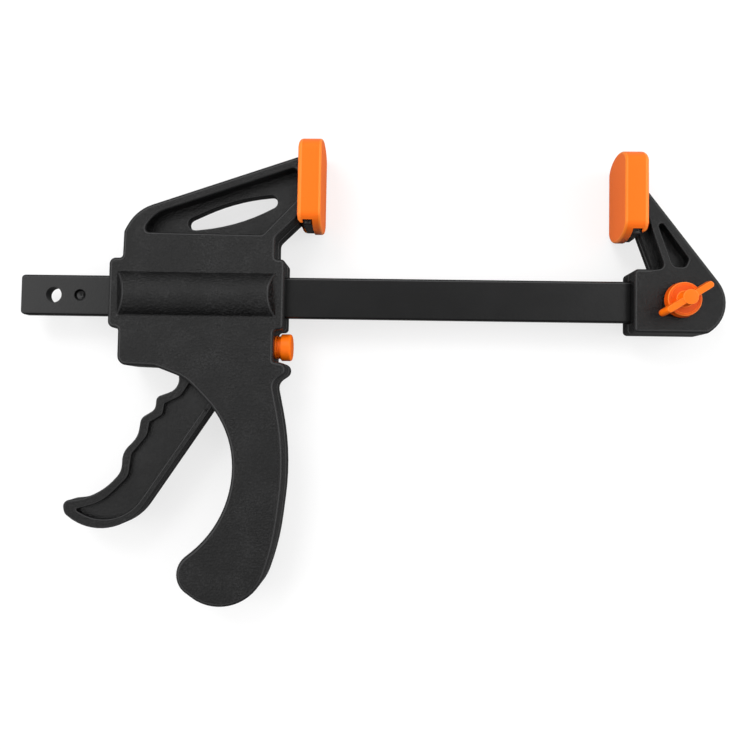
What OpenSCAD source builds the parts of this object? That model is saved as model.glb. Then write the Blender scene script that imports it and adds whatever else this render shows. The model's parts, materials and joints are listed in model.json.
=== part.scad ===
// Quick release bar clamp: a steel bar with a fixed jaw bolted to one end, and a sliding
// jaw body that a hand lever walks along the bar and a button lets go again.
// Millimetres. +X runs along the bar towards the fixed jaw, +Y points from the bar towards
// the jaw tips, and +Z is across the thickness. The origin is the centre of the hole in the
// bar's free end.

/* [Bar] */
// Length of the steel bar
bar_length = 270; // [230:5:400]
// Width of the bar, along Y
bar_width = 16; // [14:0.5:17]
// Thickness of the bar, along Z
bar_thickness = 5; // [4:0.25:6]
// Radius of the bar's long edges
bar_edge_radius = 1; // [0.4:0.1:1.5]
// Radius of the bar's four end corners
bar_corner_radius = 1.6; // [0.5:0.1:3]
// Diameter of the through hole near each end
bar_hole_diameter = 6.2; // [5:0.1:6.6]
// Distance of each through hole from its end of the bar
bar_hole_inset = 13; // [10:0.5:13]
// Diameter of the locating dimple beside each hole
dimple_diameter = 4.6; // [3:0.1:5]
// Distance of the dimple from the hole, centre to centre
dimple_pitch = 10.5; // [8:0.5:12]
// Depth of the dimple's straight wall
dimple_depth = 1.4; // [0.8:0.1:1.8]

/* [Jaws] */
// Gap between the two clamping faces as the clamp lies
opening = 115.7; // [60:0.1:150]
// Greatest gap between the clamping faces
max_opening = 150; // [150:1:152]
// Half of the thickness of the sliding body
body_half = 8.25; // [7.8:0.05:8.6]
// Half of the thickness of the fixed jaw
jaw_half = 8.25; // [7.9:0.05:8.6]
// Half of the thickness of the thin web in the sliding jaw's arm
web_half = 2.4; // [2:0.1:5]
// Half of the thickness of the thin web in the fixed jaw's arm
fixed_web_half = 3.2; // [1.2:0.1:4]
// Thickness of the upright plate that carries each pad
plate_thickness = 3.6; // [3:0.1:4]
// Height of the bar's centre line above the sliding jaw's pad bottom, as a negative number
moving_pad_bottom = 26; // [25.5:0.1:27.5]
// Height of the fixed jaw's pad bottom above the bar's centre line
fixed_pad_bottom = 23.8; // [23.5:0.1:25]

/* [Pads] */
// Height of the sliding jaw's pad
moving_pad_height = 37; // [35:0.5:39]
// Height of the fixed jaw's pad
fixed_pad_height = 35; // [33:0.5:38]
// Width of each pad, across the clamp
pad_width = 24; // [23:0.5:26]
// Thickness of each pad
pad_thickness = 9.1; // [8.5:0.1:10]
// Rise of the arch that closes each pad's top and bottom, seen along the bar
pad_arch = 6.4; // [4:0.2:8]
// Thickness of the pad's side, top and back walls
pad_wall = 1.6; // [1.4:0.1:2]
// Thickness of rubber between the plate and the clamping face
pad_face_wall = 3.4; // [3:0.1:3.8]

/* [Lever] */
// Half of the thickness of the trigger lever
trigger_half = 5; // [4:0.1:5.2]
// Half of the thickness of the lever's recessed web
trigger_web_half = 3; // [1.2:0.1:3.4]
// Diameter of the lever's pivot pin
pivot_diameter = 5; // [4:0.1:6]
// Diameter of the hardened striker pin that pushes the drive plates
striker_diameter = 4; // [3:0.1:4.4]

/* [Mechanism] */
// Outer radius of the half round barrel over the drive spring
barrel_radius = 12; // [11.6:0.1:12]
// Outer diameter of the drive spring
drive_spring_diameter = 19.6; // [19:0.1:20]
// Wire diameter of the drive spring
drive_wire = 1.2; // [0.8:0.1:1.3]
// Thickness of each drive plate
drive_plate_thickness = 3; // [2.4:0.1:3.2]
// Thickness of the brake plate
brake_plate_thickness = 3; // [2.4:0.1:3.2]
// Half of the width of the drive and brake plates, across the clamp
lock_plate_half = 6.2; // [5.5:0.1:6.4]
// Lean of the brake plate while it holds the bar, in degrees
brake_lean = 3.5; // [2:0.1:3.5]
// Outer diameter of the brake spring
brake_spring_diameter = 6; // [5:0.1:6.4]
// Wire diameter of the brake spring
brake_wire = 0.7; // [0.5:0.1:0.8]
// Diameter of the button's cap
button_diameter = 10.6; // [9.8:0.1:10.6]
// Diameter of the button's neck
neck_diameter = 9.2; // [8:0.1:9.4]

/* [Knob] */
// Diameter of the knob's flange
knob_diameter = 13.6; // [13:0.1:16]
// Diameter of the flange's upper face
knob_top_diameter = 12.4; // [11:0.1:13]
// Thickness of the knob's flange
knob_flange = 3.4; // [3.2:0.1:4]
// Height of the hub and wings above the flange
knob_rise = 6; // [4:0.5:8]
// Tip to tip span of the wings
wing_span = 22.6; // [18:0.2:24]
// Diameter of the knob's screw
screw_diameter = 6; // [4.6:0.1:6]

/* [Hidden] */
$fn = 48;

// Clearances
slide_gap = 0.15;      // bar in its guides, each side
run_gap = 0.03;        // pin in a turning bore, on the radius
seat_gap = 0.05;       // pieces that are pressed or slipped together
touch_gap = 0.15;      // pieces that meet when the lever or the button moves
neck_gap = 0.7;        // pad's open back beside the arm
plate_bite = 1;        // how far an arm runs into its pad's plate
eps = 0.5;             // how far a cut runs past the face it opens
curve_error = 0.03;    // how far a rounded outline may leave its true arc

// Places along the bar
knob_x = bar_length - 2 * bar_hole_inset;
fixed_reach = 22;
fixed_face_x = knob_x - fixed_reach;
moving_face_x = fixed_face_x - opening;
bar_bore_half = bar_width / 2 + slide_gap;

// Sliding body: its frame starts at the left end of its bar guide
body_reach = 82.5;
body_x = moving_face_x - body_reach;
plate_front = body_reach - pad_face_wall;
plate_back = plate_front - plate_thickness;
pad_back = body_reach - pad_thickness;
plate_foot = 3.4;
guide_top = 14.2;
guide_bottom = -13.3;
guide_end = 68.7;
barrel_start = 3.5;
barrel_end = guide_end - 3.2;
button_wall_x = 64.9;
button_y = -19.6;

// Sliding jaw's arm: straight along its top and along its underside
arm_knee = [9.8, 33];
arm_top_slope = 0.339;
arm_low_at_wall = 22.45;
arm_low_slope = 0.975;
arm_end = plate_back + plate_bite;
pocket_end = plate_back - 2.5;
pocket_top_rim = 4;
pocket_low_rim = 7.5;
function arm_top(x) = arm_knee[1] + arm_top_slope * (x - arm_knee[0]);
function arm_low(x) = arm_low_at_wall + arm_low_slope * (x - button_wall_x);

// The sliding body's outline: each point is x, y and the radius that rounds it
body_outline = [
    [0, guide_bottom, 2.5], [4.1, guide_bottom, 1.2], [4.1, -27.7, 3.6], [19, -28.2, 8],
    [30.9, -32.6, 18.4], [49.7, -51.6, 37], [50.05, -86.75, 41.5], [23.65, -108.3, 8.6],
    [36.9, -117.4, 10], [56.5, -126.9, 18.4], [66.95, -96.9, 96], [70.95, -61.8, 104],
    [65, -33.6, 4], [74.4, -27.1, 2.8], [button_wall_x, -25.35, 0.4],
    [button_wall_x, guide_bottom, 1.4], [guide_end, guide_bottom, 1.6],
    [guide_end, guide_top, 1.6], [button_wall_x, guide_top, 1.2],
    [button_wall_x, arm_low_at_wall, 3], [arm_end, arm_low(arm_end), 0],
    [arm_end, arm_top(arm_end), 0], [arm_knee[0], arm_knee[1], 17], [5.4, 24.6, 2.5],
    [5.15, guide_top, 1.2], [0, guide_top, 2.5]];
arm_pocket = [
    [12.8, 24.3, 1.6], [59.7, 23.7, 2], [pocket_end, arm_low(pocket_end) + pocket_low_rim, 2],
    [pocket_end, arm_top(pocket_end) - pocket_top_rim, 1.8],
    [16.8, arm_top(16.8) - pocket_top_rim, 13]];
arm_slot = [
    [30.8, 26.2, 3], [49.7, 28.2, 74], [65.2, 36.7, 2.4], [63.5, 40.6, 2.2],
    [47.8, 39.1, 77], [27.8, 29.8, 2.3]];

// Handle hollow
handle_hollow = [
    [54.3, -35.5, 3], [53, -52, 41], [53.05, -86.2, 38], [30.8, -106.6, 5],
    [39, -113.8, 7], [55.2, -121.6, 15], [64, -95.8, 92], [67.9, -61, 100],
    [62.3, -37, 2.5]];

// Trigger lever
pivot = [42.2, -27];
hub_radius = 8.3;
striker = [44.2, -13];
finger_radius = striker_diameter / 2 + 1.4;
finger_face = striker[0] - striker_diameter / 2 + 0.6;
trigger_outline = [
    [-16.85, -80.85, 2.4], [-15.9, -85.8, 3.1], [3.1, -100.6, 20.6], [46.75, -35, 5],
    [42, -29, 0], [30, -25.5, 4], [27.4, -30.4, 2], [28.45, -36.4, 5.5],
    [19.1, -39.95, 2.2], [18.8, -44.8, 3.6], [13.25, -48.2, 3.4], [12.2, -55.6, 9],
    [6.4, -61.6, 8], [6.15, -69, 7.1], [-2.55, -79.55, 25]];
trigger_web = [
    [-11.9, -84.2, 0.5], [5.4, -93.1, 18], [41.55, -38.8, 1.5], [33, -32.4, 2],
    [28.6, -39.5, 5.5], [22.3, -42.5, 0.9], [21.6, -46.85, 2], [16.6, -49.9, 1],
    [15.8, -55, 5], [9.9, -62.4, 1.9], [8.85, -71.1, 6.4], [-1, -81.1, 18.4]];
trigger_notch = [[37.5, -44.3, 0], [39, -45.4, 0], [39.9, -44.2, 0], [38.4, -43.1, 0]];
trigger_room = [
    [26.2, -29.6, 0], [33.5, -20.5, 2], [32, -9.2, 0], [49, -9.2, 0], [49, -21.4, 1],
    [51.6, -25.5, 2], [51.4, -30, 0], [48.6, -46, 0], [46.5, -58, 0], [24, -58, 0],
    [20, -38, 0]];
trigger_travel = 22;

// Drive plates and their spring
drive_x = 35.7;
drive_top = 12.9;
drive_bottom = -14.5;
drive_travel = striker[1] - pivot[1];
drive_shift = drive_travel * trigger_travel * PI / 180;
striker_gap_x = striker[0] - striker_diameter / 2 - touch_gap;
drive_front_x = striker_gap_x - drive_plate_thickness;
drive_rear_x = drive_front_x - drive_plate_thickness;
spring_start = 7.4;
spring_room_radius = drive_spring_diameter / 2 + 0.4;
drive_turns = 7;

// Brake plate, its anchor pin and its spring
anchor = [58.8, 12.3];
brake_pin_diameter = 3;
brake_top = 13.6;
brake_bottom = -24.6;
brake_spring_start = 50.8;
brake_turns = 5;
function brake_face(y) = anchor[0] + (anchor[1] - y) * tan(brake_lean);
brake_pin_x = anchor[0] + brake_pin_diameter / 2 + seat_gap;
button_travel = brake_face(button_y) - anchor[0];
nub_radius = 2;
nub_height = 0.3;
button_inner_x = brake_face(button_y - nub_radius) + touch_gap;
button_flange = 1.2;
button_wall_inner = button_inner_x + nub_height + button_flange + touch_gap;
cap_start = button_wall_x + button_travel + touch_gap;
cap_thickness = 4.2;

// Fixed jaw: its frame starts at the knob's axis
fixed_plate_front = -fixed_reach + pad_face_wall;
fixed_plate_back = fixed_plate_front + plate_thickness;
fixed_arm_end = fixed_plate_back - plate_bite;
fixed_left = -17.4;
fixed_top = 12;
fixed_bottom = -12.4;
fixed_arm_top = 45.7;
socket_lip = 0.45;     // wider mouth of the socket, where the bar goes in
fixed_outline = [
    [fixed_left, fixed_bottom, 1.6], [10.4, fixed_bottom, 1.8],
    [23.35, -4.1, 13.4], [fixed_arm_end, fixed_arm_top + 1.3, 0], [fixed_arm_end, 42.65, 0],
    [-5.6, fixed_top, 2], [fixed_left, fixed_top, 1.6]];
fixed_web = [
    [-8.4, fixed_top - 1, 0], [-4, fixed_top - 1, 0],
    [fixed_arm_end, 43.7, 0], [fixed_arm_end, 31.7, 0]];
fixed_pocket = [
    [-8.6, 29.4, 0.9], [-2.75, 12.9, 2.4], [1.9, 12.9, 1.5], [3.2, 16, 1],
    [-6.55, 29.4, 0.9]];

// Knob and its fasteners
washer_thickness = 1;
washer_diameter = 12;
knob_base = jaw_half + washer_thickness + seat_gap;
head_diameter = 9.4;
head_thickness = 2;
hub_diameter = 5.7;
wing_thickness = 2.7;
wing_foot = 2;
wing_angle = 32.5;
nut_flats = 10;
nut_thickness = 5;
nut_floor = jaw_half - nut_thickness - 0.25;

// Shell screws, in the sliding body's frame
shell_screw_places = [[10.5, 19.5], [60.5, 18.8], [9.5, -21.5], [60, -31.5], [60.8, -77],
    [43, -108.5]];
shell_screw_diameter = 2.9;
shell_hole_diameter = 3;
shell_head_diameter = 5.4;
shell_head_depth = 2.6;
shell_screw_reach = 6;
boss_radius = 4;

black_plastic = [0.17, 0.17, 0.175];
orange_plastic = [1, 0.49, 0.09];
steel_black = [0.2, 0.2, 0.21];
steel_bright = [0.7, 0.71, 0.73];

// Outline maths
function unit(v) = v / norm(v);
function xy(p) = [p[0], p[1]];
function turn(a, b) = atan2(a[0] * b[1] - a[1] * b[0], a * b);
function arc_steps(angle, r) = max(1, ceil(abs(angle) / (2 * acos(1 - curve_error / r))));
function corner(before, at, after) =
    let (p = xy(at), r = at[2], a = unit(p - xy(before)), b = unit(xy(after) - p))
    let (angle = turn(a, b))
    r == 0 || abs(angle) < 0.01 ? [p] :
    let (reach = r * tan(abs(angle) / 2), start = p - a * reach, side = sign(angle))
    let (centre = start + side * r * [-a[1], a[0]], n = arc_steps(angle, r))
    [for (i = [0:n]) let (t = angle * i / n, d = start - centre)
        centre + [d[0] * cos(t) - d[1] * sin(t), d[0] * sin(t) + d[1] * cos(t)]];
function rounded(path) =
    let (n = len(path))
    [for (i = [0:n - 1]) each corner(path[(i + n - 1) % n], path[i], path[(i + 1) % n])];

// A flat outline made solid between two heights
module slab(path, low, high) {
    translate([0, 0, low]) linear_extrude(high - low) polygon(rounded(path));
}

// A box given by its lowest and highest corners
module block(low, high) {
    translate(low) cube(high - low);
}

// A round bar along X, and one along Z
module rod_x(x, y, z, radius, length) {
    translate([x, y, z]) rotate([0, 90, 0]) cylinder(r = radius, h = length);
}
module rod_z(x, y, low, high, radius) {
    translate([x, y, low]) cylinder(r = radius, h = high - low);
}

// A rectangle with round corners, centred, lying in the YZ plane and made solid along X
module rounded_bar(x, length, y_low, y_high, half_width, radius) {
    path = [[-half_width, y_low, radius], [half_width, y_low, radius],
        [half_width, y_high, radius], [-half_width, y_high, radius]];
    translate([x + length, 0, 0]) rotate([0, -90, 0]) linear_extrude(length)
        polygon(rounded(path));
}

// A coil spring along X: a wire of eight sides swept round a helix with flat closed ends
module coil_x(x, y, length, outer_diameter, wire, turns) {
    steps = 14 * turns;
    radius = outer_diameter / 2 - wire / 2;
    rise = length - wire;
    ring = 8;
    function along(t) = wire / 2 + rise * (t - sin(360 * t) / 2 / PI / 1.15);
    function spine(t) = [along(t), radius * cos(360 * turns * t), radius * sin(360 * turns * t)];
    points = [for (i = [0:steps]) let (t = i / steps, c = spine(t), a = 360 * turns * t)
        for (j = [0:ring - 1]) let (b = 360 * j / ring)
            c + wire / 2 * [cos(b), sin(b) * cos(a), sin(b) * sin(a)]];
    sides = [for (i = [0:steps - 1], j = [0:ring - 1]) let (k = (j + 1) % ring)
        [i * ring + j, i * ring + k, (i + 1) * ring + k, (i + 1) * ring + j]];
    ends = [[for (j = [0:ring - 1]) ring - 1 - j], [for (j = [0:ring - 1]) steps * ring + j]];
    translate([x, y, 0]) polyhedron(points, concat(sides, ends));
}

// Bar: round edged strip with a hole and a dimple at each end
module bar() {
    color(steel_black) difference() {
        intersection() {
            rounded_bar(-bar_hole_inset, bar_length, -bar_width / 2, bar_width / 2,
                bar_thickness / 2, bar_edge_radius);
            slab([[-bar_hole_inset, -bar_width / 2, bar_corner_radius],
                [knob_x + bar_hole_inset, -bar_width / 2, bar_corner_radius],
                [knob_x + bar_hole_inset, bar_width / 2, bar_corner_radius],
                [-bar_hole_inset, bar_width / 2, bar_corner_radius]],
                -bar_thickness, bar_thickness);
        }
        for (x = [0, knob_x])
            rod_z(x, 0, -bar_thickness, bar_thickness, bar_hole_diameter / 2);
        for (x = [dimple_pitch, knob_x - dimple_pitch]) translate([x, 0, bar_thickness / 2]) {
            translate([0, 0, -dimple_depth]) cylinder(d = dimple_diameter, h = bar_thickness);
            translate([0, 0, -dimple_depth - 1]) cylinder(d1 = 0.6, d2 = dimple_diameter, h = 1);
        }
    }
}

// A tall outline closed by a half ellipse at each end, as z and y
function arch(half, bottom, top, rise) =
    let (n = 24, low = bottom + rise, high = top - rise)
    [for (i = [0:n]) let (t = 180 * i / n) [half * cos(t), high + rise * sin(t)],
        each [for (i = [0:n]) let (t = 180 + 180 * i / n) [half * cos(t), low + rise * sin(t)]]];

// A flat outline given as z and y, made solid along X
module wall_x(x, thickness, outline) {
    translate([x + thickness, 0, 0]) rotate([0, -90, 0]) linear_extrude(thickness)
        polygon(outline);
}

// Upright plate that a pad slips over, with a narrow foot that shows below the pad's walls
module pad_plate(x, bottom, height, foot_half, low_z) {
    half = pad_width / 2 - pad_wall - seat_gap;
    foot = bottom + pad_wall;
    top = bottom + height - pad_wall - seat_gap;
    intersection() {
        wall_x(x, plate_thickness, arch(half, foot, top, pad_arch - pad_wall));
        block([x - eps, foot + plate_foot, low_z], [x + plate_thickness + eps, top + eps, half]);
    }
    block([x, foot, max(low_z, -foot_half)],
        [x + plate_thickness, foot + plate_foot + 1, foot_half]);
}

// Slip-on pad. Local x runs from the clamping face into the pad, 0 at the face
module pad(bottom, height, neck_half, neck_top) {
    top = bottom + height;
    half = pad_width / 2;
    slot_half = half - pad_wall;
    difference() {
        wall_x(0, pad_thickness, arch(half, bottom, top, pad_arch));
        wall_x(pad_face_wall - seat_gap, plate_thickness + 2 * seat_gap,
            arch(slot_half, bottom + pad_wall, top - pad_wall, pad_arch - pad_wall));
        block([pad_face_wall - seat_gap, bottom - eps, -slot_half],
            [pad_face_wall + plate_thickness + seat_gap, bottom + pad_arch, slot_half]);
        block([pad_face_wall + plate_thickness, bottom - eps, -neck_half - neck_gap],
            [pad_thickness + eps, neck_top, neck_half + neck_gap]);
    }
}

module moving_jaw_pad() {
    color(orange_plastic) translate([moving_face_x, 0, 0]) mirror([1, 0, 0])
        pad(moving_pad_bottom, moving_pad_height, body_half, arm_top(plate_back) + 1);
}

module fixed_jaw_pad() {
    color(orange_plastic) translate([fixed_face_x, 0, 0])
        pad(fixed_pad_bottom, fixed_pad_height, jaw_half, fixed_arm_top + 1);
}

// Fixed jaw: socket for the bar, braced arm, pad plate, screw hole and nut pocket
module fixed_jaw() {
    color(black_plastic) translate([knob_x, 0, 0]) difference() {
        union() {
            difference() {
                slab(fixed_outline, -jaw_half, jaw_half);
                for (side = [0, 1]) mirror([0, 0, side])
                    slab(fixed_pocket, fixed_web_half, jaw_half + eps);
            }
            slab(fixed_web, -fixed_web_half, fixed_web_half);
            pad_plate(fixed_plate_front, fixed_pad_bottom, fixed_pad_height, jaw_half,
                -pad_width);
        }
        block([fixed_left - eps, -bar_width / 2 - seat_gap, -bar_thickness / 2 - seat_gap],
            [bar_hole_inset + seat_gap, bar_width / 2 + seat_gap,
                bar_thickness / 2 + seat_gap]);
        block([fixed_left - eps, -bar_width / 2 - socket_lip, -bar_thickness / 2 - socket_lip],
            [fixed_left + 1.2, bar_width / 2 + socket_lip, bar_thickness / 2 + socket_lip]);
        rod_z(0, 0, -jaw_half - eps, jaw_half + eps, screw_diameter / 2 + run_gap);
        translate([0, 0, -jaw_half - eps])
            cylinder(d = (nut_flats + 2 * seat_gap) / cos(30), h = jaw_half - nut_floor + eps,
                $fn = 6);
    }
}

// Wing knob with its moulded-in screw, the washer under it and the nut behind the jaw
module wing_knob() {
    top = knob_base + knob_flange + knob_rise;
    color(orange_plastic) translate([knob_x, 0, 0]) difference() {
        union() {
            translate([0, 0, knob_base])
                cylinder(d1 = knob_diameter, d2 = knob_top_diameter, h = knob_flange);
            rod_z(0, 0, knob_base + knob_flange - eps, top, hub_diameter / 2);
            rotate([0, 0, wing_angle]) intersection() {
                translate([0, 0, (knob_base + top) / 2])
                    cube([wing_span, wing_thickness, knob_base + 2 * top], center = true);
                wing_blade(top);
            }
        }
        rod_z(0, 0, knob_base - eps, knob_base + 0.4 + head_thickness, screw_diameter / 2);
        rod_z(0, 0, knob_base + 0.4, knob_base + 0.4 + head_thickness, head_diameter / 2);
    }
}

// Side view of the wings, with rounded upper tips
module wing_blade(top) {
    foot = knob_base + knob_flange - wing_foot + 0.3;
    half = wing_span / 2;
    translate([0, wing_thickness, 0]) rotate([90, 0, 0]) linear_extrude(2 * wing_thickness)
        polygon(rounded([[-half, foot, 0.8], [half, foot, 0.8], [half, foot + 2, 1.5],
            [half - 1.5, top, 1.6], [-half + 1.5, top, 1.6], [-half, foot + 2, 1.5]]));
}

module knob_screw() {
    color(steel_bright) translate([knob_x, 0, 0]) {
        rod_z(0, 0, -jaw_half + 0.3, knob_base + 0.4, screw_diameter / 2);
        rod_z(0, 0, knob_base + 0.4, knob_base + 0.4 + head_thickness, head_diameter / 2);
    }
}

module knob_washer() {
    color(steel_bright) translate([knob_x, 0, 0]) difference() {
        rod_z(0, 0, jaw_half, jaw_half + washer_thickness, washer_diameter / 2);
        rod_z(0, 0, 0, knob_base + eps, screw_diameter / 2 + run_gap);
    }
}

module knob_nut() {
    color(steel_bright) translate([knob_x, 0, -nut_floor - nut_thickness]) difference() {
        cylinder(d = nut_flats / cos(30), h = nut_thickness, $fn = 6);
        translate([0, 0, -eps])
            cylinder(d = screw_diameter + 2 * run_gap, h = nut_thickness + 2 * eps);
    }
}

// Half round barrel over the bar, with sloping ends
module barrel() {
    rise = barrel_radius + eps - body_half;
    ends = [[barrel_start, 0], [barrel_end, 0], [barrel_end, body_half],
        [barrel_end - 0.67 * rise, body_half + rise],
        [barrel_start + 0.88 * rise, body_half + rise], [barrel_start, body_half]];
    intersection() {
        rod_x(0, 0, 0, barrel_radius, guide_end, $fn = 96);
        translate([0, barrel_radius, 0]) rotate([90, 0, 0])
            linear_extrude(2 * barrel_radius) polygon(ends);
    }
}

// Everything that is cut out of either half of the sliding body
module body_rooms() {
    slab(arm_pocket, web_half, body_half + eps);
    slab(arm_slot, -eps, body_half + eps);
    block([-eps, -bar_bore_half, -eps],
        [guide_end + eps, bar_bore_half, bar_thickness / 2 + slide_gap]);
    rod_x(spring_start, 0, 0, spring_room_radius, drive_rear_x - spring_start + eps, $fn = 96);
    block([drive_rear_x - drive_shift - 1, drive_bottom - 0.8, -eps],
        [striker_gap_x + touch_gap, drive_top + 0.6, lock_plate_half + 0.4]);
    slab(trigger_room, -eps, trigger_half + 0.35);
    block([anchor[0] - brake_plate_thickness - 0.8, brake_bottom - 0.8, -eps],
        [brake_pin_x, brake_top + 0.8, lock_plate_half + 0.4]);
    block([anchor[0], brake_bottom - 0.8, -eps],
        [button_wall_inner, -bar_bore_half, lock_plate_half + 0.4]);
    block([anchor[0], -bar_bore_half - eps, -eps],
        [brake_face(0) + 1.5, bar_bore_half + eps, lock_plate_half + 0.4]);
    rod_x(brake_spring_start, button_y, 0, brake_spring_diameter / 2 + 0.4, 6);
    rod_x(button_wall_inner - eps, button_y, 0, neck_diameter / 2 + run_gap, 8);
    rod_z(pivot[0], pivot[1], -eps, body_half - 1, pivot_diameter / 2 + run_gap);
    rod_z(brake_pin_x, anchor[1], -eps, body_half - 1, brake_pin_diameter / 2 + run_gap);
}

// One half of the sliding body, from the parting plane to its outer face
module body_half_solid() {
    difference() {
        union() {
            difference() {
                slab(body_outline, 0, body_half);
                slab(handle_hollow, -eps, body_half - 2.6);
            }
            for (p = shell_screw_places) rod_z(p[0], p[1], 0, body_half - 1, boss_radius);
            barrel();
            pad_plate(plate_back, moving_pad_bottom, moving_pad_height, body_half, 0);
        }
        body_rooms();
    }
}

module front_shell() {
    color(black_plastic) translate([body_x, 0, 0]) difference() {
        body_half_solid();
        for (p = shell_screw_places)
            rod_z(p[0], p[1], -eps, shell_screw_reach, shell_hole_diameter / 2);
    }
}

module rear_shell() {
    color(black_plastic) translate([body_x, 0, 0]) mirror([0, 0, 1]) difference() {
        body_half_solid();
        for (p = shell_screw_places) {
            rod_z(p[0], p[1], -eps, body_half + eps, shell_hole_diameter / 2);
            rod_z(p[0], p[1], body_half - shell_head_depth, body_half + eps,
                shell_head_diameter / 2 + 0.3);
        }
    }
}

// Cross-head screws that close the two halves, driven from the rear
module shell_screws() {
    seat = -body_half + shell_head_depth;
    color(steel_black) translate([body_x, 0, 0]) for (p = shell_screw_places)
        translate([p[0], p[1], 0]) difference() {
            union() {
                translate([0, 0, seat]) cylinder(d = shell_screw_diameter,
                    h = shell_screw_reach - seat - 0.5);
                translate([0, 0, seat - 2]) cylinder(d = shell_head_diameter, h = 2);
            }
            for (a = [0, 90]) rotate([0, 0, a]) translate([-1.5, -0.35, seat - 2 - eps])
                cube([3, 0.7, 1.2 + eps]);
        }
}

// Hand lever: finger grip with a recessed web, pivot hub and striker finger
module trigger() {
    color(black_plastic) translate([body_x, 0, 0]) difference() {
        union() {
            difference() {
                slab(trigger_outline, -trigger_half, trigger_half);
                for (side = [0, 1], cut = [trigger_web, trigger_notch]) mirror([0, 0, side])
                    slab(cut, trigger_web_half, trigger_half + eps);
            }
            rod_z(pivot[0], pivot[1], -trigger_half, trigger_half, hub_radius);
            rod_z(striker[0], striker[1], -trigger_half, trigger_half, finger_radius);
            slab([[pivot[0] - 5, pivot[1], 0], [pivot[0] + 6, pivot[1], 0],
                [striker[0] + finger_radius, striker[1], 0],
                [finger_face, striker[1], 0]], -trigger_half, trigger_half);
        }
        rod_z(pivot[0], pivot[1], -trigger_half - eps, trigger_half + eps,
            pivot_diameter / 2 + run_gap);
        rod_z(striker[0], striker[1], -trigger_half - eps, trigger_half + eps,
            striker_diameter / 2 + run_gap / 2);
        slab([[finger_face - 5, striker[1] - 5, 0], [finger_face, striker[1] - 5, 0],
            [finger_face, striker[1], 0], [finger_face + 2, striker[1] + 5, 0],
            [finger_face - 5, striker[1] + 5, 0]], -trigger_half - eps, trigger_half + eps);
    }
}

module trigger_pin() {
    color(steel_bright) translate([body_x, 0, 0])
        rod_z(pivot[0], pivot[1], -body_half + 1.1, body_half - 1.1, pivot_diameter / 2);
}

module striker_pin() {
    color(steel_bright) translate([body_x, 0, 0])
        rod_z(striker[0], striker[1], -trigger_half, trigger_half, striker_diameter / 2);
}

// Hardened plate with a slot for the bar
module lock_plate(x, thickness, bottom, top) {
    path = [[-lock_plate_half, bottom, 1.5], [lock_plate_half, bottom, 1.5],
        [lock_plate_half, top, 1.5], [-lock_plate_half, top, 1.5]];
    difference() {
        translate([x + thickness, 0, 0]) rotate([0, -90, 0]) linear_extrude(thickness)
            polygon(rounded(path));
        block([x - eps, -bar_width / 2 - 0.2, -bar_thickness / 2 - 0.2],
            [x + thickness + eps, bar_width / 2 + 0.2, bar_thickness / 2 + 0.2]);
    }
}

module drive_plate_front() {
    color(steel_bright) translate([body_x, 0, 0])
        lock_plate(drive_front_x, drive_plate_thickness, drive_bottom, drive_top);
}

module drive_plate_rear() {
    color(steel_bright) translate([body_x, 0, 0])
        lock_plate(drive_rear_x, drive_plate_thickness, drive_bottom, drive_top);
}

module drive_spring() {
    color(steel_bright) translate([body_x, 0, 0])
        coil_x(spring_start + 0.1, 0, drive_rear_x - spring_start - 0.2,
            drive_spring_diameter, drive_wire, drive_turns);
}

// Brake plate, leaning about its anchor so that it bites the bar
module brake_plate() {
    color(steel_bright) translate([body_x + anchor[0], anchor[1], 0])
        rotate([0, 0, brake_lean]) translate([-anchor[0], -anchor[1], 0])
            lock_plate(anchor[0] - brake_plate_thickness, brake_plate_thickness,
                brake_bottom, brake_top);
}

module brake_pin() {
    color(steel_bright) translate([body_x, 0, 0])
        rod_z(brake_pin_x, anchor[1], -body_half + 1.1, body_half - 1.1,
            brake_pin_diameter / 2);
}

module brake_spring() {
    seat = brake_face(button_y + brake_spring_diameter / 2)
        - brake_plate_thickness / cos(brake_lean);
    color(steel_bright) translate([body_x, 0, 0])
        coil_x(brake_spring_start + 0.1, button_y, seat - brake_spring_start - 0.2,
            brake_spring_diameter, brake_wire, brake_turns);
}

// Release button: nub that meets the brake plate, flange that keeps it in the body,
// grooved neck and round cap
module release_button() {
    cap = cap_start - button_inner_x;
    neck = neck_diameter / 2;
    groove = 0.25;
    profile = [[0, 0, 0], [nub_radius, 0, 0.1], [nub_radius, nub_height, 0],
        [button_diameter / 2, nub_height, 0.2],
        [button_diameter / 2, nub_height + button_flange, 0.2],
        [neck, nub_height + button_flange, 0], [neck, cap - 1.4, 0],
        [neck - groove, cap - 1.4, 0], [neck - groove, cap - 1.1, 0], [neck, cap - 1.1, 0],
        [neck, cap - 0.7, 0], [neck - groove, cap - 0.7, 0], [neck - groove, cap - 0.4, 0],
        [neck, cap - 0.4, 0], [neck, cap, 0], [button_diameter / 2, cap, 0.3],
        [button_diameter / 2, cap + cap_thickness, 0.6], [0, cap + cap_thickness, 0]];
    color(orange_plastic) translate([body_x + button_inner_x, button_y, 0])
        rotate([0, 90, 0]) rotate_extrude() polygon(rounded(profile));
}

bar();
fixed_jaw();
fixed_jaw_pad();
wing_knob();
knob_screw();
knob_washer();
knob_nut();
front_shell();
rear_shell();
shell_screws();
moving_jaw_pad();
trigger();
trigger_pin();
striker_pin();
drive_plate_front();
drive_plate_rear();
drive_spring();
brake_plate();
brake_pin();
brake_spring();
release_button();
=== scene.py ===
import json
import math
import bmesh
import bpy
from mathutils import Matrix, Vector


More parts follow.
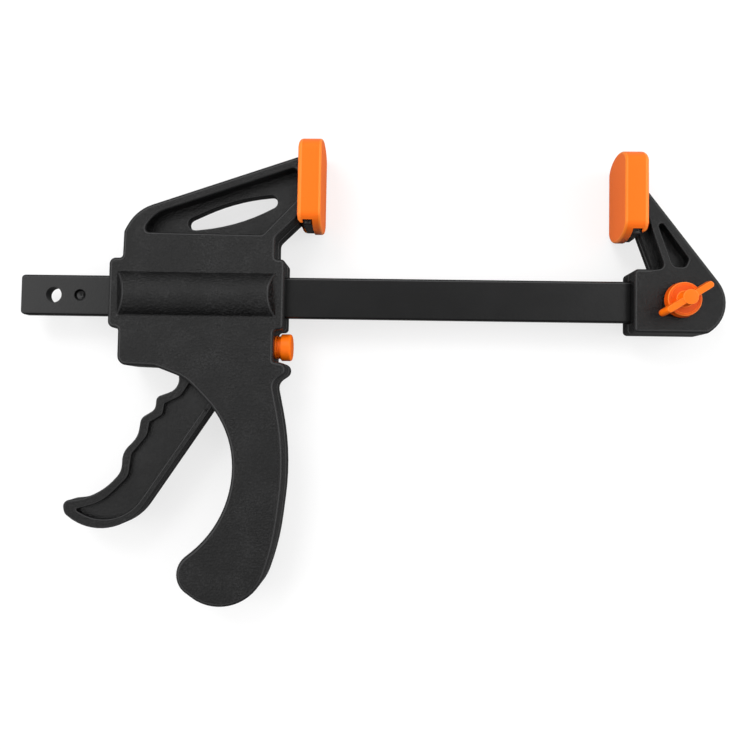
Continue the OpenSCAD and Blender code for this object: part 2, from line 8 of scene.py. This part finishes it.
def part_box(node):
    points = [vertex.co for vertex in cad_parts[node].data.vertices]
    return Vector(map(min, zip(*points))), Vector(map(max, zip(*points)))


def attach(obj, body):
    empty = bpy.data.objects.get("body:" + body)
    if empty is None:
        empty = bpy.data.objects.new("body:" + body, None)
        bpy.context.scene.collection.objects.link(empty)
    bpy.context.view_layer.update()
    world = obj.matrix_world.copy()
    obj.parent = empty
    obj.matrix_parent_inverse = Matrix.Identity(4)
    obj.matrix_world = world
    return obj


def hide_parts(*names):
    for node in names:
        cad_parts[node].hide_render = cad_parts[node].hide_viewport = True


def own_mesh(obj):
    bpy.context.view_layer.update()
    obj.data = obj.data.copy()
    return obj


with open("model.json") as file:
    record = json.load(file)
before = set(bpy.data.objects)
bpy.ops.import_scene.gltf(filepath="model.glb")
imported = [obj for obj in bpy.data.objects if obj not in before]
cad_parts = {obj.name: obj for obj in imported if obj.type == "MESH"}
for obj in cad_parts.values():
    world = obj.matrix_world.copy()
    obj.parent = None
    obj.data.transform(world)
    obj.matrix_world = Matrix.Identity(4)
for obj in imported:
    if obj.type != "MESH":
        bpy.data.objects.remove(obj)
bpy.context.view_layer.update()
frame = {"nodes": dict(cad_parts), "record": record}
mm = 0.001
print("frame loaded:", len(frame["nodes"]), "nodes")

viewSettings = {
    "place": (0.13659, -0.0418, 0.30269),
    "turn": (2.28836, 1.60243, 0.96611),   # degrees about X, Y and Z
    "lens": 36.96,
    "filmWidth": 36,
    "nearest": 0.01,
}

tableMiddle = (0.12, 0, 0)   # the lamps point here, and the table lies round it

lampSettings = {   # these light the colours and the table, and aren't mirrored
    "keyLight": {"place": (-0.35, 0.75, 1.0), "size": 0.6, "power": 6.0},
    "eastFill": {"place": (1.3, 0.15, 0.3), "size": 0.9, "power": 13.0},
    "westFill": {"place": (-1.1, -0.1, 0.3), "size": 0.9, "power": 10.0},
}

skySettings = {   # brightness by height: 0 is the horizon and 1 is straight up or straight down
    "back": [(0, 0.3), (0.105, 0.32), (0.342, 0.38), (0.53, 0.5), (0.643, 0.95), (0.74, 1.6),
        (0.87, 1.65), (0.905, 1.2), (0.934, 0.85), (0.951, 0.46), (0.968, 0.3), (1, 0.31)],
    "front": [(0, 0.05), (0.33, 0.07), (0.6, 0.25), (0.86, 0.4), (0.97, 0.33), (1, 0.3)],
    "level": 1.0,
    "guard": 0.0001,   # keeps the division whole straight above
}

floorSettings = {"height": -12.15, "half": 3000, "shade": 0.3, "lift": 0.7, "rough": 0.9,
    "bounce": 0.08, "mirrored": 0.05}   # what reaches the pieces from below


class Wire:   # one socket, so that shader maths reads as plain sums
    def __init__(self, sheet, socket):
        self.sheet = sheet
        self.socket = socket

    def maths(self, operation, first, second):
        return self.sheet.add("ShaderNodeMath", {"operation": operation}, {0: first, 1: second})

    def __add__(self, other):
        return self.maths("ADD", self, other)

    def __radd__(self, other):
        return self.maths("ADD", other, self)

    def __sub__(self, other):
        return self.maths("SUBTRACT", self, other)

    def __rsub__(self, other):
        return self.maths("SUBTRACT", other, self)

    def __mul__(self, other):
        return self.maths("MULTIPLY", self, other)

    def __rmul__(self, other):
        return self.maths("MULTIPLY", other, self)


class Sheet:   # the node tree of one material or of the world
    def __init__(self, owner):
        owner.use_nodes = True
        self.owner = owner
        self.tree = owner.node_tree
        self.shader = self.tree.nodes.get("Principled BSDF")
        self.coords = None

    def feed(self, socket, value):
        if isinstance(value, Wire):
            self.tree.links.new(value.socket, socket)
        else:
            socket.default_value = value

    def add(self, kind, settings=None, inputs=None, output=0):
        node = self.tree.nodes.new(kind)
        for key, value in (settings or {}).items():
            if key == "stops":
                while len(node.color_ramp.elements) < len(value):
                    node.color_ramp.elements.new(0.5)
                for stop, (place, colour) in zip(node.color_ramp.elements, value):
                    stop.position = place
                    stop.color = colour
            else:
                setattr(node, key, value)
        for key, value in (inputs or {}).items():
            self.feed(node.inputs[key], value)
        return Wire(self, node.outputs[output])

    def place(self):
        if self.coords is None:
            self.coords = self.add("ShaderNodeTexCoord", output="Object")
        return self.coords

    def noise(self, scale, detail=2.0, rough=0.5, stretch=None):
        spot = self.place()
        if stretch:
            spot = self.add("ShaderNodeMapping", {}, {"Vector": spot, "Scale": stretch})
        return self.add("ShaderNodeTexNoise", {}, {"Vector": spot, "Scale": scale,
            "Detail": detail, "Roughness": rough})

    def blendColour(self, factor, first, second):
        node = self.tree.nodes.new("ShaderNodeMix")
        node.data_type = "RGBA"
        for socket, value in ((0, factor), (6, first), (7, second)):   # the colour sockets are 6 and 7
            self.feed(node.inputs[socket], value)
        return Wire(self, node.outputs[2])


def makeCamera():
    data = bpy.data.cameras.new("camera")
    data.sensor_width = viewSettings["filmWidth"]
    data.sensor_fit = "HORIZONTAL"
    data.lens = viewSettings["lens"]
    data.clip_start = viewSettings["nearest"]
    camera = bpy.data.objects.new("camera", data)
    camera.location = viewSettings["place"]
    camera.rotation_euler = [math.radians(a) for a in viewSettings["turn"]]
    bpy.context.scene.collection.objects.link(camera)
    bpy.context.scene.camera = camera


def makeLamp(name, place, size, power):
    data = bpy.data.lights.new(name, "AREA")
    data.shape = "DISK"
    data.size = size
    data.energy = power
    lamp = bpy.data.objects.new(name, data)
    lamp.location = place
    lamp.rotation_euler = (Vector(place) - Vector(tableMiddle)).to_track_quat("Z", "Y").to_euler()
    lamp.visible_glossy = False
    bpy.context.scene.collection.objects.link(lamp)


def greyStops(pairs):
    return [(at, (tone, tone, tone, 1)) for at, tone in pairs]


def makeWorld():   # a pale room, with a soft band of light round a plainer middle, darker to the front
    world = bpy.data.worlds.new("studio")
    bpy.context.scene.world = world
    sheet = Sheet(world)
    back = sheet.tree.nodes["Background"]
    spot = sheet.add("ShaderNodeTexCoord", output="Generated")
    east, north, up = [sheet.add("ShaderNodeSeparateXYZ", {}, {0: spot}, output=i) for i in range(3)]
    height = sheet.add("ShaderNodeMath", {"operation": "ABSOLUTE"}, {0: up})
    south = sheet.add("ShaderNodeMath", {"operation": "MINIMUM"}, {0: north, 1: 0.0})
    share = sheet.add("ShaderNodeMath", {"operation": "DIVIDE"},
        {0: south * south, 1: east * east + north * north + skySettings["guard"]})
    tones = [sheet.add("ShaderNodeValToRGB", {"stops": greyStops(skySettings[side])}, {"Fac": height})
        for side in ("back", "front")]
    strength = skySettings["level"] * (tones[0] + (tones[1] - tones[0]) * share)
    seen = sheet.add("ShaderNodeLightPath", output="Is Camera Ray")
    back.inputs["Color"].default_value = (1, 1, 1, 1)
    sheet.feed(back.inputs["Strength"], strength * (1 - seen) + seen)


def makeFloor():
    bm = bmesh.new()
    bmesh.ops.create_grid(bm, x_segments=1, y_segments=1, size=floorSettings["half"] * mm)
    bmesh.ops.translate(bm, verts=bm.verts, vec=(*tableMiddle[:2], floorSettings["height"] * mm))
    mesh = bpy.data.meshes.new("floor")
    bm.to_mesh(mesh)
    bm.free()
    floor = bpy.data.objects.new("floor", mesh)
    bpy.context.scene.collection.objects.link(floor)
    sheet = Sheet(bpy.data.materials.new("whiteTable"))
    shade = floorSettings["shade"]
    sheet.shader.inputs["Base Color"].default_value = (shade, shade, shade, 1)
    sheet.shader.inputs["Roughness"].default_value = floorSettings["rough"]
    sheet.shader.inputs["Specular IOR Level"].default_value = 0
    glow = sheet.add("ShaderNodeEmission", {}, {"Strength": floorSettings["lift"]})
    bright = sheet.add("ShaderNodeAddShader", {}, {0: Wire(sheet, sheet.shader.outputs[0]), 1: glow})
    bounce = floorSettings["bounce"]
    dim = sheet.add("ShaderNodeBsdfDiffuse", {}, {"Color": (bounce, bounce, bounce, 1)})
    seen = sheet.add("ShaderNodeLightPath", output="Is Camera Ray")
    mirrored = sheet.add("ShaderNodeLightPath", output="Is Glossy Ray")
    final = sheet.add("ShaderNodeMixShader", {},
        {0: seen + mirrored * floorSettings["mirrored"], 1: dim, 2: bright})
    sheet.feed(sheet.tree.nodes["Material Output"].inputs["Surface"], final)
    mesh.materials.append(sheet.owner)


makeCamera()
makeWorld()
for name, lamp in lampSettings.items():
    makeLamp(name, lamp["place"], lamp["size"], lamp["power"])
makeFloor()
bpy.context.scene.view_settings.view_transform = "Standard"
print("camera, lamps and floor made")

grainMix = {"detail": 3.0, "rough": 0.6, "fine": 0.7, "cloud": 0.3, "cloudSize": 14}
blackPlastic = {"dark": (0.0003, 0.0003, 0.0004, 1), "light": (0.012, 0.012, 0.0123, 1),
    "grain": 1350, "grainDepth": 0.34, "contrast": 8.0, "middle": 0.57,
    "rough": 0.22, "roughSpread": 0.06, "specular": 0.44}
barCoating = {"dark": (0.001, 0.001, 0.0011, 1), "light": (0.004, 0.004, 0.0042, 1),
    "grain": 1500, "grainDepth": 0.05, "rough": 0.24, "roughSpread": 0.06, "specular": 0.58}
orangePlastic = {"dark": (0.93, 0.15, 0.002, 1), "light": (0.99, 0.175, 0.003, 1),
    "grain": 1200, "grainDepth": 0.02, "rough": 0.36, "roughSpread": 0.08, "specular": 0.28}
knobPlasticShadedLow = dict(orangePlastic,   # painted shade: a deeper orange low down, on the flange, where the wings and hub shade it
    low=(0.72, 0.085, 0.001, 1), lowTop=13.6, lowFade=1.2)
orangePad = {"dark": (0.93, 0.15, 0.004, 1), "light": (0.99, 0.175, 0.006, 1),
    "grain": 1500, "grainDepth": 0.03, "rough": 0.5, "roughSpread": 0.1, "specular": 0.2,
    "sheen": 0.1}
# painted highlight: a paler orange on the rounded edges of the pads and the knob
padEdgeHighlight = {"dark": (0.95, 0.2, 0.012, 1), "light": (0.99, 0.24, 0.02, 1),
    "grain": 1500, "grainDepth": 0.02, "rough": 0.4, "roughSpread": 0.1, "specular": 0.4,
    "sheen": 0.12}
edgeHighlight = {"dark": (0.01, 0.01, 0.0103, 1), "light": (0.02, 0.02, 0.0205, 1),
    "grain": 1700, "grainDepth": 0.05, "contrast": 2.0, "rough": 0.23, "roughSpread": 0.06,
    "specular": 0.5}   # painted highlight: the rounded edges are paler than the flats
# painted highlight: the sloping faces of the parting line are a paler grey
seamHighlight = dict(edgeHighlight, dark=(0.05, 0.05, 0.0505, 1), light=(0.08, 0.08, 0.081, 1))
brightSteel = {"dark": (0.42, 0.42, 0.43, 1), "light": (0.62, 0.62, 0.63, 1),
    "grain": 1400, "stretch": (1, 1, 0.12), "grainDepth": 0.01, "bump": 0.6,
    "rough": 0.32, "roughSpread": 0.16}


def spreadRough(look, pattern):
    return look["rough"] - look["roughSpread"] / 2 + pattern * look["roughSpread"]


def roughen(sheet, look, pattern, strength):
    bump = sheet.add("ShaderNodeBump", {}, {"Strength": strength,
        "Distance": look["grainDepth"] * mm, "Height": pattern})
    sheet.feed(sheet.shader.inputs["Normal"], bump)


def moulded(name, look):   # fine grain over soft clouds
    sheet = Sheet(bpy.data.materials.new(name))
    fine = sheet.noise(look["grain"], grainMix["detail"], grainMix["rough"])
    cloud = sheet.noise(look["grain"] / grainMix["cloudSize"])
    mixed = fine * grainMix["fine"] + cloud * grainMix["cloud"]
    tone = (mixed - look.get("middle", 0.5)) * look.get("contrast", 1.0) + 0.5
    colour = sheet.blendColour(tone, look["dark"], look["light"])
    # painted shade: below a given height the colour blends towards a darker one
    if "low" in look:
        height = sheet.add("ShaderNodeSeparateXYZ", {}, {0: sheet.place()}, output=2)
        paintedShadeShare = (look["lowTop"] * mm - height) * (1 / (look["lowFade"] * mm))
        colour = sheet.blendColour(paintedShadeShare, colour, look["low"])
    sheet.feed(sheet.shader.inputs["Base Color"], colour)
    sheet.feed(sheet.shader.inputs["Roughness"], spreadRough(look, cloud))
    sheet.shader.inputs["Specular IOR Level"].default_value = look["specular"]
    sheet.shader.inputs["Sheen Weight"].default_value = look.get("sheen", 0)
    roughen(sheet, look, fine, 1.0)
    return sheet.owner


def plated(name, look):   # bright metal with drawn-out streaks
    sheet = Sheet(bpy.data.materials.new(name))
    streaks = sheet.noise(look["grain"], grainMix["detail"], grainMix["rough"], look["stretch"])
    colour = sheet.blendColour(streaks, look["dark"], look["light"])
    sheet.feed(sheet.shader.inputs["Base Color"], colour)
    sheet.feed(sheet.shader.inputs["Roughness"], spreadRough(look, streaks))
    sheet.shader.inputs["Metallic"].default_value = 1.0
    roughen(sheet, look, streaks, look["bump"])
    return sheet.owner


finishes = {
    "black_plastic": moulded("blackPlastic", blackPlastic),
    "black_coated_steel": moulded("barCoating", barCoating),
    "orange_plastic": moulded("orangePlastic", orangePlastic),
    "orange_pad": moulded("orangePad", orangePad),
    "knob": moulded("knobPlasticShadedLow", knobPlasticShadedLow),
    "edge": moulded("edgeHighlight", edgeHighlight),
    "seam": moulded("seamHighlight", seamHighlight),
    "pad_edge_highlight": moulded("padEdgeHighlight", padEdgeHighlight),
    "steel": plated("brightSteel", brightSteel),
}
slotOf = {part["node"]: part["material_slot"] for part in frame["record"]["subparts"]}
bodyOf = {node: body for body, nodes in frame["record"]["behaviour"]["bodies"].items()
    for node in nodes}
print("finishes made")

meshSettings = {   # in mm and degrees, and in shares of a face's normal along Z
    "merge": 0.003, "sliver": 0.002, "flatAngle": 0.5,   # what a copy of a solid joins up
    "edgeAngle": 25,   # edges sharper than this may be rounded
    "segments": 4, "smoothAngle": 32, "coilAngle": 60,
    "level": 0.02,   # a point this near a level lies at it
    "foot": 0.1,   # and a wall's foot this near
    "middle": 0.005,   # and a point of the parting line this near the middle
    "upright": 0.2,   # a wall's normal has less than this
    "seamTilt": (0.1, 0.99),   # a seam's sloping faces are between these
}


def solidCopy(node):
    bm = bmesh.new()
    bm.from_mesh(frame["nodes"][node].data)
    for face in bm.faces:
        face.material_index = 0
    bmesh.ops.remove_doubles(bm, verts=bm.verts, dist=meshSettings["merge"] * mm)
    bmesh.ops.dissolve_degenerate(bm, edges=bm.edges, dist=meshSettings["sliver"] * mm)
    bmesh.ops.dissolve_limit(bm, verts=bm.verts, edges=bm.edges,
        angle_limit=math.radians(meshSettings["flatAngle"]))
    return bm


def markEdges(bm, widest, widthOf):   # each edge's own rounding, as a share of the widest
    layer = bm.edges.layers.float.new("bevel_weight_edge")
    sharp = math.radians(meshSettings["edgeAngle"])
    bm.normal_update()
    for edge in bm.edges:
        if len(edge.link_faces) == 2 and edge.is_convex and edge.calc_face_angle() > sharp:
            edge[layer] = widthOf(edge) / widest


def flatAt(edge, level):   # the edge lies that high above or below the middle, in mm
    return all(abs(abs(v.co.z) - level * mm) < meshSettings["level"] * mm for v in edge.verts)


def wallsAt(item):   # the upright faces beside an edge or a point
    return [f for f in item.link_faces if abs(f.normal.z) < meshSettings["upright"]]


def wallOf(edge):   # the one upright face beside an edge of the front or the back
    walls = wallsAt(edge)
    return walls[0] if len(walls) == 1 else None


def footOf(wall):   # how near the middle the wall comes
    return min(abs(v.co.z) for v in wall.verts)


def standsAt(wall, level):   # the wall rises from that level, in mm
    return abs(footOf(wall) - level * mm) < meshSettings["foot"] * mm


def applyModifiers(piece):
    graph = bpy.context.evaluated_depsgraph_get()
    mesh = bpy.data.meshes.new_from_object(piece.evaluated_get(graph))
    piece.modifiers.clear()
    piece.data = mesh
    return mesh


def finishPiece(bm, name, node, widest=None, ownFinish=None, edgeFinish=None, seam=0,
        smooth=meshSettings["smoothAngle"]):
    mesh = bpy.data.meshes.new(name)
    bm.to_mesh(mesh)
    bm.free()
    piece = bpy.data.objects.new(name, mesh)
    bpy.context.scene.collection.objects.link(piece)
    for finish in (ownFinish or slotOf[node], edgeFinish, "seam" if seam else None):
        if finish:
            mesh.materials.append(finishes[finish])
    if widest:
        bevel = piece.modifiers.new("roundedEdges", "BEVEL")
        bevel.limit_method = "WEIGHT"
        bevel.width = widest * mm
        bevel.segments = meshSettings["segments"]
        bevel.loop_slide = False
        bevel.use_clamp_overlap = False
        bevel.miter_outer = "MITER_ARC"
        # the rounded edges take the edge finish, a painted highlight
        bevel.material = 1 if edgeFinish else -1
        mesh = applyModifiers(piece)
    # painted highlight on the parting line's sloping faces
    if seam:
        least, most = meshSettings["seamTilt"]
        for face in mesh.polygons:
            if abs(face.center.z) < seam * mm and least < abs(face.normal.z) < most:
                face.material_index = 2
    mesh.shade_smooth()
    mesh.set_sharp_from_angle(angle=math.radians(smooth))
    weighted = piece.modifiers.new("flatFaces", "WEIGHTED_NORMAL")
    weighted.keep_sharp = True
    weighted.weight = 100
    weighted.mode = "FACE_AREA"
    applyModifiers(piece)
    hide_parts(node)
    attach(piece, bodyOf[node])
    return piece


bodyShape = {"half": 8.25, "fillet": 1.3, "pocketFloor": 2.4, "pocketRim": 0.85, "slotRim": 0.45,
    "shallowFrom": 5.5, "shallowRim": 0.3,   # walls that stop above this height
    "outerFrom": 6.5, "parting": 0.6, "innerParting": 0.05,   # outer walls reach past this height
    "barrelFrom": 8.2, "barrelEnd": 0.5}


def shellWidth(edge):
    shape = bodyShape
    wall = wallOf(edge)
    onFront = flatAt(edge, shape["half"])
    if onFront and wall:
        if standsAt(wall, shape["pocketFloor"]):
            return shape["pocketRim"]
        return shape["shallowRim"] if footOf(wall) > shape["shallowFrom"] * mm else shape["fillet"]
    if flatAt(edge, shape["pocketFloor"]) and wall:
        return shape["slotRim"]
    if flatAt(edge, 0) and wall:
        outer = max(abs(v.co.z) for v in wall.verts) > shape["outerFrom"] * mm
        return shape["parting"] if outer else shape["innerParting"]
    onBarrel = min(abs(v.co.z) for v in edge.verts) > shape["barrelFrom"] * mm and not onFront
    return shape["barrelEnd"] if onBarrel else 0


for node, name in (("front_shell", "frontShell"), ("rear_shell", "rearShell")):
    shell = solidCopy(node)
    markEdges(shell, bodyShape["fillet"], shellWidth)
    finishPiece(shell, name, node, bodyShape["fillet"], edgeFinish="edge", seam=bodyShape["parting"])
print("sliding body made")


def partingGroove(bm, shape, inside):   # a fine vee round the outside of a moulding, at its middle
    for level in (-shape["groove"] / 2, 0, shape["groove"] / 2):
        bmesh.ops.bisect_plane(bm, geom=bm.verts[:] + bm.edges[:] + bm.faces[:],
            plane_co=(0, 0, level * mm), plane_no=(0, 0, 1))
    bm.normal_update()
    inward = {}
    for vert in bm.verts:
        walls = wallsAt(vert)
        atMiddle = abs(vert.co.z) < meshSettings["middle"] * mm
        if atMiddle and len(walls) > 1 and not inside(vert.co):
            inward[vert] = sum((f.normal for f in walls), Vector()).normalized()
    for vert, way in inward.items():
        vert.co.xy -= way.xy * shape["grooveDepth"] * mm


jawShape = {"half": 8.25, "fillet": 1.15, "pocketFloor": 3.2, "pocketRim": 0.6,
    "seat": (244, 0), "seatReach": 7, "seatRim": 0.3,   # where the washer lies
    "groove": 1.0, "grooveDepth": 0.5,
    "socketHalf": 9, "socketEnd": 255}   # inside the bar's socket there is no groove


def jawWidth(edge):
    shape = jawShape
    wall = wallOf(edge)
    if not wall or not flatAt(edge, shape["half"]):
        return 0
    if standsAt(wall, shape["pocketFloor"]):
        return shape["pocketRim"]
    seat = Vector(shape["seat"]) * mm
    atSeat = all((v.co.xy - seat).length < shape["seatReach"] * mm for v in edge.verts)
    return shape["seatRim"] if atSeat else shape["fillet"]


def inSocket(spot):
    return abs(spot.y) < jawShape["socketHalf"] * mm and spot.x < jawShape["socketEnd"] * mm


endJaw = solidCopy("fixed_jaw")
partingGroove(endJaw, jawShape, inSocket)
markEdges(endJaw, jawShape["fillet"], jawWidth)
finishPiece(endJaw, "endJaw", "fixed_jaw", jawShape["fillet"], edgeFinish="edge",
    seam=jawShape["groove"] / 2)

leverShape = {"half": 5.0, "fillet": 0.55, "webFloor": 3.0, "webRim": 0.45,
    "notch": (62.5, -44.25), "notchReach": 1.4, "notchRim": 0.05,   # the rim is narrow there
    "groove": 1.2, "grooveDepth": 0.5,
    "pivot": (66, -27), "hubReach": 9}   # round the pivot there is no groove


def leverWidth(edge):
    shape = leverShape
    wall = wallOf(edge)
    if not wall or not flatAt(edge, shape["half"]):
        return 0
    if not standsAt(wall, shape["webFloor"]):
        return shape["fillet"]
    middle = (edge.verts[0].co.xy + edge.verts[1].co.xy) / 2
    atNotch = (middle - Vector(shape["notch"]) * mm).length < shape["notchReach"] * mm
    return shape["notchRim"] if atNotch else shape["webRim"]


def atHub(spot):
    return (spot.xy - Vector(leverShape["pivot"]) * mm).length < leverShape["hubReach"] * mm


lever = solidCopy("trigger")
partingGroove(lever, leverShape, atHub)
markEdges(lever, leverShape["fillet"], leverWidth)
finishPiece(lever, "lever", "trigger", leverShape["fillet"], edgeFinish="edge",
    seam=leverShape["groove"] / 2)
print("end jaw and lever made")

padShape = {"face": 0.9, "back": 1.6, "crease": 3.8, "draft": 0.18, "sideFrom": 11.9,
    "neckHalf": 8.5, "arch": 5}   # the neck in the back has no rounding, and ends below the arch
for node, name, towards in (("moving_jaw_pad", "movingPad", -1), ("fixed_jaw_pad", "endPad", 1)):
    low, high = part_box(node)
    faceX, backX = (low.x, high.x) if towards > 0 else (high.x, low.x)

    def lyingAt(edge, x):
        return all(abs(v.co.x - x) < meshSettings["level"] * mm for v in edge.verts)

    def padWidth(edge):
        if lyingAt(edge, faceX):
            return padShape["face"]
        inNeck = all(abs(v.co.z) < padShape["neckHalf"] * mm
            and v.co.y < high.y - padShape["arch"] * mm for v in edge.verts)
        return padShape["back"] if lyingAt(edge, backX) and not inNeck else 0

    pad = solidCopy(node)
    crease = faceX + towards * padShape["crease"] * mm
    bmesh.ops.bisect_plane(pad, geom=pad.verts[:] + pad.edges[:] + pad.faces[:],
        plane_co=(crease, 0, 0), plane_no=(1, 0, 0))
    for vert in pad.verts:   # the flat sides lean in a little from the crease to the face and the back
        if abs(vert.co.z) > padShape["sideFrom"] * mm:
            share = abs(vert.co.x - crease) / abs(backX - crease)
            vert.co.z -= math.copysign(padShape["draft"] * mm * min(share, 1), vert.co.z)
    markEdges(pad, padShape["back"], padWidth)
    finishPiece(pad, name, node, padShape["back"], edgeFinish="pad_edge_highlight")
print("pads made")


def softCorners(path, steps=5):   # points of a line whose corners are rounded by the third number
    points = []
    for i, (x, y, radius) in enumerate(path):
        here = Vector((x, y))
        if not radius:
            points.append(here)
            continue
        before = (Vector(path[i - 1][:2]) - here).normalized()
        after = (Vector(path[i + 1][:2]) - here).normalized()
        half = before.angle(after) / 2
        middle = here + (before + after).normalized() * radius / math.sin(half)
        start = here + before * radius / math.tan(half)
        end = here + after * radius / math.tan(half)
        for k in range(steps + 1):
            ray = (start - middle).lerp(end - middle, k / steps)
            points.append(middle + ray.normalized() * radius)
    return points


def inOrder(bm):   # ranks edges and faces by their points, so that every run writes the same mesh
    bm.verts.index_update()
    for items in (bm.edges, bm.faces):
        ranked = sorted(items, key=lambda item: sorted(v.index for v in item.verts))
        for rank, item in enumerate(ranked):
            item.index = rank
        items.sort()


def turned(path, steps=72):   # a solid of revolution about Z; the path gives radius, height, rounding
    bm = bmesh.new()
    verts = [bm.verts.new((p.x * mm, 0, p.y * mm)) for p in softCorners(path)]
    edges = [bm.edges.new(pair) for pair in zip(verts, verts[1:])]
    bmesh.ops.spin(bm, geom=verts + edges, cent=(0, 0, 0), axis=(0, 0, 1), angle=math.tau,
        steps=steps, use_merge=True)
    inOrder(bm)
    bmesh.ops.remove_doubles(bm, verts=bm.verts, dist=meshSettings["merge"] * mm)
    bmesh.ops.recalc_face_normals(bm, faces=bm.faces)
    return bm


knobShape = {
    "centre": 244, "base": 9.3, "turn": 32.5,
    "body": [(0, 2.42, 0), (4.72, 2.42, 0), (4.72, 0.4, 0), (3.02, 0.4, 0), (3.02, 0, 0),
        (6.75, 0, 0.2), (6.35, 3.4, 0.35), (5.5, 3.4, 0.2), (5.3, 3.25, 0.2), (2.88, 3.25, 0.4),
        (2.85, 9.4, 0.3), (0, 9.4, 0)],
    "wings": [   # height, reach and half thickness of each level
        (2.6, 10.9, 1.2), (2.9, 11.2, 1.35), (3.6, 11.2, 1.38), (6.8, 10.6, 1.32),
        (8.7, 9.85, 1.24), (8.95, 9.7, 1.18), (9.1, 9.5, 1.02)],
    "wingSegments": 28,
    "topEdge": 8.6, "flangeEdge": (2.9, 3.45), "edgeTilt": (0.1, 0.94),   # the edges that get a painted highlight
}


def addWings(bm):
    rings = []
    segments = knobShape["wingSegments"]
    for height, reach, half in knobShape["wings"]:
        ring = bmesh.ops.create_circle(bm, segments=segments, radius=half * mm,
            matrix=Matrix.Rotation(math.pi / segments, 4, "Z"))["verts"]
        for vert in ring:
            vert.co.x += math.copysign((reach - half) * mm, vert.co.x)
            vert.co.z = height * mm
        rings.append(list(dict.fromkeys(edge for vert in ring for edge in vert.link_edges)))
    for low, high in zip(rings, rings[1:]):
        bmesh.ops.bridge_loops(bm, edges=low + high)
    for ring in (rings[0], rings[-1]):
        bmesh.ops.edgeloop_fill(bm, edges=ring)
    inOrder(bm)


def takesPaintedHighlight(face):   # painted highlight on the top edges of the wings and the hub, and on the flange's rim
    height = face.calc_center_median().z / mm - knobShape["base"]
    lowest, highest = knobShape["flangeEdge"]
    least, most = knobShape["edgeTilt"]
    return (height > knobShape["topEdge"] or lowest < height < highest) and least < face.normal.z < most


knob = bmesh.new()
addWings(knob)
bmesh.ops.rotate(knob, verts=knob.verts, cent=(0, 0, 0),
    matrix=Matrix.Rotation(math.radians(knobShape["turn"]), 3, "Z"))
core = turned(knobShape["body"])
coreMesh = bpy.data.meshes.new("knobCore")
core.to_mesh(coreMesh)
core.free()
knob.from_mesh(coreMesh)
bmesh.ops.translate(knob, verts=knob.verts, vec=(knobShape["centre"] * mm, 0, knobShape["base"] * mm))
bmesh.ops.recalc_face_normals(knob, faces=knob.faces)
knob.normal_update()
for face in knob.faces:
    face.material_index = int(takesPaintedHighlight(face))
finishPiece(knob, "wingKnob", "wing_knob", ownFinish="knob", edgeFinish="pad_edge_highlight")

buttonPath = [   # radius, height above the nub's face, rounding
    (0, 0, 0), (2, 0, 0.1), (2, 0.3, 0), (5.3, 0.3, 0.2), (5.3, 1.5, 0.2), (4.6, 1.5, 0),
    (4.6, 4.3, 0.1), (4.3, 4.38, 0), (4.3, 4.72, 0), (4.6, 4.8, 0.1), (4.6, 5.05, 0.1),
    (4.3, 5.13, 0), (4.3, 5.47, 0), (4.6, 5.55, 0.1), (4.6, 5.98, 0), (5.3, 5.98, 0.45),
    (5.3, 10.18, 0.85), (0.5, 10.18, 0.12), (0.4, 9.8, 0), (0, 9.8, 0)]
button = turned(buttonPath)
bmesh.ops.rotate(button, verts=button.verts, cent=(0, 0, 0),
    matrix=Matrix.Rotation(math.pi / 2, 3, "Y"))
low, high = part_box("release_button")
bmesh.ops.translate(button, verts=button.verts,
    vec=(low.x, (low.y + high.y) / 2, (low.z + high.z) / 2))
finishPiece(button, "releaseButton", "release_button")
print("knob and button made")

barShape = {"highlightTilt": (0.15, 0.75)}   # painted highlight: the rounded edges that face +Y, where the flats turn into the round edges, take the paler edge finish
bar = solidCopy("bar")
bar.normal_update()
for face in bar.faces:
    face.material_index = int(barShape["highlightTilt"][0] < face.normal.y < barShape["highlightTilt"][1])
finishPiece(bar, "barStrip", "bar", edgeFinish="edge")

for node, name in (("knob_washer", "knobWasher"), ("knob_nut", "knobNut"),
        ("knob_screw", "knobScrew"), ("shell_screws", "shellScrews")):
    finishPiece(solidCopy(node), name, node)

springMoves = {   # the joint that shortens each spring, by how much in mm, and the end that stays
    "drive_spring": {"name": "driveSpring", "joint": "drive_slide", "shorter": 5.5, "still": 31.3},
    "brake_spring": {"name": "brakeSpring", "joint": "button_press", "shorter": 2.1, "still": 74.7},
}
for node, move in springMoves.items():
    spring = finishPiece(solidCopy(node), move["name"], node, smooth=meshSettings["coilAngle"])
    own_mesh(spring)
print("bar, fasteners and springs made")

for node, solid in frame["nodes"].items():   # the pins and plates show their solids, in these finishes
    solid.data.materials.clear()
    solid.data.materials.append(finishes[slotOf[node]])
